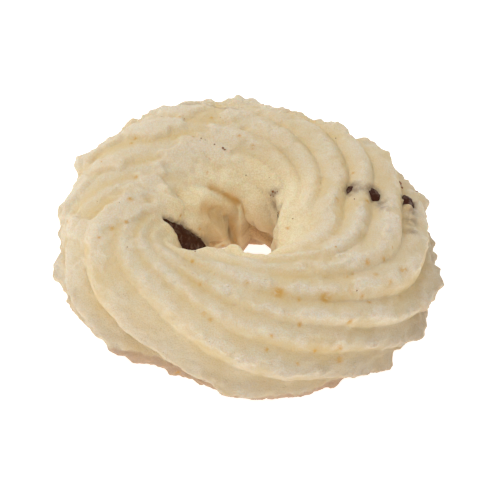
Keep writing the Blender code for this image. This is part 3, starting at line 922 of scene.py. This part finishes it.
class CookieSizes(bpy.types.PropertyGroup):
    """Sizes of the dough's torn and crumbly finish."""

    tear_height: FloatProperty(
        name="Tear height",
        description="How far the torn teeth stand up along the crests",
        default=0.2 * MM,
        unit="LENGTH",
    )
    tear_length: FloatProperty(
        name="Tear length",
        description="Length of one torn tooth along a crest",
        default=2.6 * MM,
        unit="LENGTH",
    )
    lip: FloatProperty(
        name="Lip",
        description="How far a torn crest leans out over the groove beside it",
        default=0.05 * MM,
        unit="LENGTH",
    )
    waver: FloatProperty(
        name="Waver",
        description="How far a torn crest wanders from its line, as a share of a ridge",
        default=0.06,
    )
    lump_size: FloatProperty(
        name="Lump size",
        description="Width of the soft lumps where the dough smeared",
        default=5.0 * MM,
        unit="LENGTH",
    )
    lump_height: FloatProperty(
        name="Lump height",
        description="Height of the soft lumps where the dough smeared",
        default=0.5 * MM,
        unit="LENGTH",
    )
    crumb_size: FloatProperty(
        name="Crumb size",
        description="Width of the crumbs in the crust",
        default=0.9 * MM,
        unit="LENGTH",
    )
    crumb_height: FloatProperty(
        name="Crumb height",
        description="Height of the crumbs in the crust",
        default=0.05 * MM,
        unit="LENGTH",
    )
    rim_tooth: FloatProperty(
        name="Rim tooth",
        description="Width of the small uneven teeth round the rim",
        default=1.7 * MM,
        unit="LENGTH",
    )
    rim_height: FloatProperty(
        name="Rim height",
        description="Height of the small uneven teeth round the rim",
        default=0.6 * MM,
        unit="LENGTH",
    )
    pocket_depth: FloatProperty(
        name="Pocket depth",
        description="How far the dough draws back under a piece of chocolate",
        default=1.0 * MM,
        unit="LENGTH",
    )
    crumbs: IntProperty(
        name="Crumbs",
        description="Number of loose crumbs clinging to the torn crests",
        default=3000,
        min=0,
    )
    specks: IntProperty(
        name="Specks",
        description="Number of tiny toasted specks besides those with a place",
        default=45,
        min=0,
    )


def tint(name, description, hex_colour):
    """A colour that a user may change, from its sRGB hex value."""
    return FloatVectorProperty(
        name=name, description=description, subtype="COLOR", default=linear(hex_colour)
    )


class CookieColours(bpy.types.PropertyGroup):
    """Colours of the cookie and of the card under it."""

    dough: tint("Dough", "Baked dough", "#E5D8BC")
    crest: tint("Crest", "Dried, torn crests", "#EFE6D6")
    butter: tint("Butter", "Butter rich hollows", "#E1C285")
    # Painted shade: the darker brown low in the hole and at the foot of its walls.
    hole: tint("Hole", "Dough low in the hole", "#B0845A")
    # Painted light: the paler colour on the walls that face into the hole.
    lit: tint("Moist", "Pale moist dough in the hole", "#FFEFCA")
    # Baked tan and painted shade on the outer side.
    flank_tan_and_shade: tint("Flank", "Outer side, baked darker", "#A9947A")
    # Browned by the tray, and painted shade under the foot's overhang.
    foot: tint("Foot", "Foot browned by the tray", "#AE866E")
    # Also the colour of the painted warm shade in the hole's creases.
    caramel: tint("Caramel", "Browned butter and sugar", "#D59C2A")
    smudge: tint("Smudge", "Chocolate smeared in dough", "#846A5A")
    chocolate: tint("Chocolate", "Dark chocolate", "#43200F")
    bloom: tint("Bloom", "Greyish bloom on the chocolate", "#BFAA98")
    speck: tint("Speck", "Dark caramelised specks", "#8A5226")
    card: tint("Card", "White card under the cookie", "#F7F7F7")
    glow: FloatProperty(
        name="Glow", description="Light that shows through the card", default=0.72, min=0
    )
    grain: FloatProperty(
        name="Grain", description="How rough the finest crumb feels", default=0.7, min=0
    )


class COOKIE_OT_pipe_ring(bpy.types.Operator):
    """Pipe the ridged dough ring with its torn crests"""

    bl_idname = "cookie.pipe_ring"
    bl_label = "Pipe the dough ring"

    def execute(self, context):
        sizes, look = context.scene.cookie_sizes, context.scene.cookie_colours
        ring = pipe_ring(sizes)
        points, marks = finish_ring(ring, sizes)
        material = dough_material("baked_butter_dough", look, DOUGH_GLOW)
        item = solid_piece(
            DOUGH, centred(points), grid_faces(), material, ["cookie_ring"]
        )
        give_values(item.data, marks)
        give_values(item.data, side_marks(ring, points))
        return {"FINISHED"}


class COOKIE_OT_strew_crumbs(bpy.types.Operator):
    """Strew small loose crumbs along the torn crests"""

    bl_idname = "cookie.strew_crumbs"
    bl_label = "Strew the crumbs"

    def execute(self, context):
        sizes, look = context.scene.cookie_sizes, context.scene.cookie_colours
        points, facing, marks = piped_surface()
        draw = np.random.default_rng(CRUMB_SEED)
        chance = (STRAY_CRUMBS + marks["crest"] ** 2) * (points[:, 2] > CRUMB_LEVEL)
        chosen = drawn_spots(draw, chance, sizes.crumbs)
        radii = draw.uniform(*CRUMB_SIZES, sizes.crumbs)
        crumbs, faces = scatter(points[chosen], facing[chosen], radii, draw)
        material = dough_material("dry_butter_crumbs", look, CRUMB_GLOW)
        item = solid_piece("clinging_crumbs", crumbs * MM, faces, material)
        corners = crumbs.shape[1]
        give_values(item.data, {k: np.repeat(v[chosen], corners) for k, v in marks.items()})
        return {"FINISHED"}


class COOKIE_OT_sink_specks(bpy.types.Operator):
    """Sink dark caramelised specks in the crust"""

    bl_idname = "cookie.sink_specks"
    bl_label = "Sink the specks"

    def execute(self, context):
        sizes, look = context.scene.cookie_sizes, context.scene.cookie_colours
        points, facing, _ = piped_surface()
        draw = np.random.default_rng(SPECK_SEED)
        spots, placed = placed_on_rope(DARK_SPECKS)
        nearest = [np.argmin(((points - spot) ** 2).sum(-1)) for spot in centred(spots) / MM]
        loose = drawn_spots(draw, (points[:, 2] > SPECK_LEVEL).astype(float), sizes.specks)
        chosen = np.concatenate([nearest, loose]).astype(int)
        radii = np.concatenate([placed, draw.uniform(*SPECK_SIZES, sizes.specks)])
        specks, faces = scatter(points[chosen], facing[chosen], radii, draw)
        solid_piece("toasted_specks", specks * MM, faces, toasted_material(look))
        return {"FINISHED"}


class COOKIE_OT_set_chocolate(bpy.types.Operator):
    """Set the dark chocolate pieces in the dough"""

    bl_idname = "cookie.set_chocolate"
    bl_label = "Set the chocolate"

    def execute(self, context):
        material = chocolate_material(context.scene.cookie_colours)
        for name, shape in CHOCOLATE.items():
            points, faces = chocolate_lump(shape)
            item = solid_piece(
                name + "_chunk", centred(points), faces, material, [name]
            )
            give_values(item.data, {"bloom": near_path(points, BLOOM_LINE, BLOOM_WIDTH)})
        return {"FINISHED"}


class COOKIE_OT_light_table(bpy.types.Operator):
    """Lay the white card, hang the lamps and set up the camera"""

    bl_idname = "cookie.light_table"
    bl_label = "Light the table"

    def execute(self, context):
        scene = context.scene
        bpy.ops.mesh.primitive_plane_add(size=CARD_SIZE)
        card = context.object
        card.name = "card"
        card.data.materials.append(paper_material(scene.cookie_colours))
        sky = bpy.data.worlds.new("soft_tent")
        sky.use_nodes = True
        light = sky.node_tree.nodes["Background"]
        light.inputs["Color"].default_value = (1.0, 1.0, 1.0, 1.0)
        light.inputs["Strength"].default_value = TENT_STRENGTH
        scene.world = sky
        for name, (power, size, direction) in LAMPS.items():
            hang_lamp(name, power, size, direction)
        scene.camera = aim_camera()
        scene.view_settings.view_transform = "Standard"
        return {"FINISHED"}


class COOKIE_PT_panel(bpy.types.Panel):
    """The steps that make the cookie, in order"""

    bl_label = "Butter Cookie"
    bl_idname = "COOKIE_PT_panel"
    bl_space_type = "VIEW_3D"
    bl_region_type = "UI"
    bl_category = "Cookie"

    def draw(self, context):
        for step in STEPS:
            self.layout.operator(step.bl_idname)
        for group in (context.scene.cookie_sizes, context.scene.cookie_colours):
            for name in group.__annotations__:
                self.layout.prop(group, name)


STEPS = (
    COOKIE_OT_pipe_ring,
    COOKIE_OT_strew_crumbs,
    COOKIE_OT_sink_specks,
    COOKIE_OT_set_chocolate,
    COOKIE_OT_light_table,
)
CLASSES = (CookieSizes, CookieColours, *STEPS, COOKIE_PT_panel)


def register():
    for kind in CLASSES:
        bpy.utils.register_class(kind)
    bpy.types.Scene.cookie_sizes = PointerProperty(type=CookieSizes)
    bpy.types.Scene.cookie_colours = PointerProperty(type=CookieColours)


def unregister():
    del bpy.types.Scene.cookie_colours
    del bpy.types.Scene.cookie_sizes
    for kind in reversed(CLASSES):
        bpy.utils.unregister_class(kind)


def main():
    register()
    bpy.ops.cookie.pipe_ring()
    bpy.ops.cookie.strew_crumbs()
    bpy.ops.cookie.sink_specks()
    bpy.ops.cookie.set_chocolate()
    bpy.ops.cookie.light_table()


if __name__ == "__main__":
    main()
